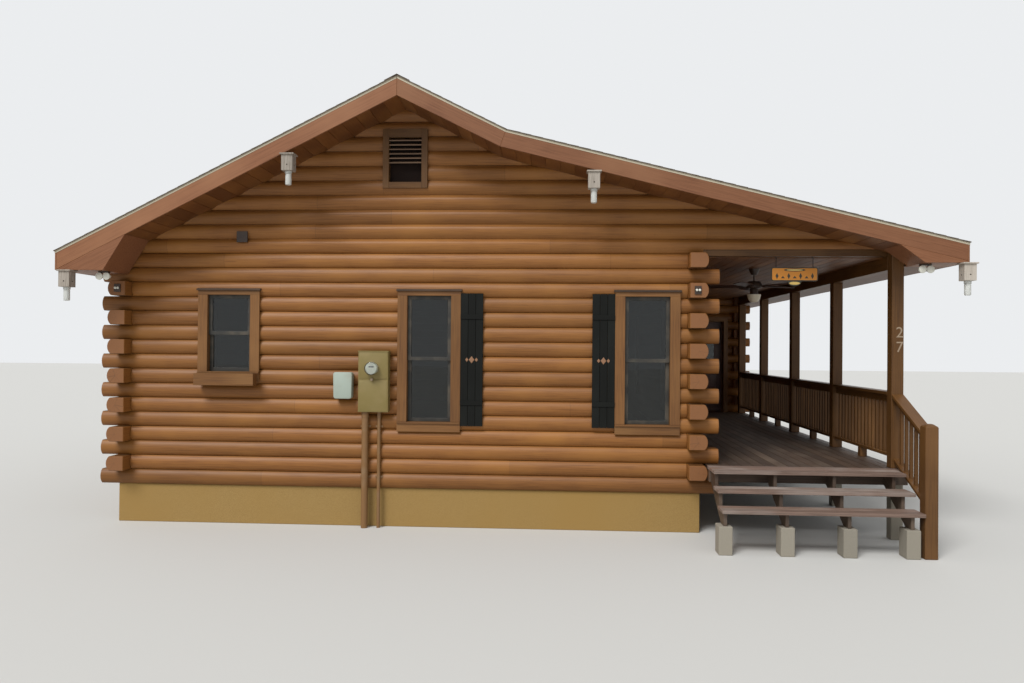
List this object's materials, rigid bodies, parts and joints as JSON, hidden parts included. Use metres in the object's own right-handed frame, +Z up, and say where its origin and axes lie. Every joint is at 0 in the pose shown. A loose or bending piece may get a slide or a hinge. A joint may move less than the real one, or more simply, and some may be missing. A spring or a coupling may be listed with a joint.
{
  "type": "log cabin",
  "caption": "Single-storey log cabin with butt-and-pass corners, a two-pitch gabled roof, boxed eave returns, and a covered side porch with rails and an open stair.",
  "frame": {"origin": "on the lowest ground, under the ridge, in the middle of the front foundation wall", "axes": "+X to the right seen from the front, towards the porch; +Y towards the back; +Z up"},
  "size_m": [10.82, 12.685, 5.4897],
  "materials": {
    "log_wood": "satin stained logs",
    "trim_wood": "satin painted boards",
    "casing_wood": "satin painted boards",
    "soffit_wood": "satin stained boards",
    "deck_wood": "worn satin stain",
    "floor_board": "satin varnish",
    "grey_wood": "weathered, matte",
    "masonry": "matte",
    "shingle": "matte granules",
    "sash_plastic": "matte",
    "shutter_wood": "satin paint",
    "door_paint": "satin paint",
    "cabinet_metal": "satin paint",
    "pale_plastic": "matte",
    "jar_plastic": "gloss",
    "dark_metal": "satin paint",
    "fan_blades": "satin varnish",
    "sign_paint": "gloss paint",
    "glass": "clear, gloss",
    "bowl_glass": "frosted"
  },
  "bodies": {
    "cabin": {"foundation": "masonry", "piers": "masonry", "floor": "floor_board", "front_wall": "log_wood", "back_wall": "log_wood", "left_wall": "log_wood", "porch_side_wall": "log_wood", "porch_end_wall": "log_wood", "rear_side_wall": "log_wood", "gable_walls": "log_wood", "gable_vents": "trim_wood", "roof_slopes": "soffit_wood", "roof_trim": "trim_wood", "shingles": "shingle", "ceiling_panels": "soffit_wood", "porch_beams": "trim_wood", "porch_posts": "trim_wood", "deck": "deck_wood", "deck_frame": "deck_wood", "stair_treads": "deck_wood", "stair_stringers": "deck_wood", "stair_rail": "trim_wood", "porch_railing_1": "trim_wood", "porch_railing_2": "trim_wood", "porch_railing_3": "trim_wood", "porch_railing_4": "trim_wood", "window_casings": "casing_wood", "window_sashes": "sash_plastic", "window_glass": "glass", "shutters": "shutter_wood", "window_box": "casing_wood", "door_frame": "casing_wood", "hinge_pins": "dark_metal", "meter_cabinet": "cabinet_metal", "meter_glass": "glass", "cable_box": "pale_plastic", "fan_mount": "dark_metal", "fan_light": "bowl_glass", "sign_hooks": "dark_metal", "insect_traps": "grey_wood", "trap_jars": "jar_plastic", "outdoor_lamps": "dark_metal"},
    "door": {"entry_door": "door_paint", "door_glass": "glass", "door_hardware": "dark_metal"},
    "fan": {"fan_rotor": "fan_blades"},
    "sign": {"hanging_sign": "sign_paint", "sign_straps": "dark_metal"}
  },
  "joints": [
    {"name": "entry_door_hinge", "type": "hinge", "parent": "cabin", "child": "door", "pos_m": [4.7175, 8.369, 1.855], "axis": [0, 0, 1], "range_deg": [0, 100]},
    {"name": "fan_spin", "type": "hinge", "parent": "cabin", "child": "fan", "pos_m": [4.675, 1.35, 3.17], "axis": [0, 0, 1], "continuous": true},
    {"name": "sign_swing", "type": "hinge", "parent": "cabin", "child": "sign", "pos_m": [4.8165, -0.105, 3.389], "axis": [1, 0, 0], "range_deg": [-40, 40]}
  ]
}
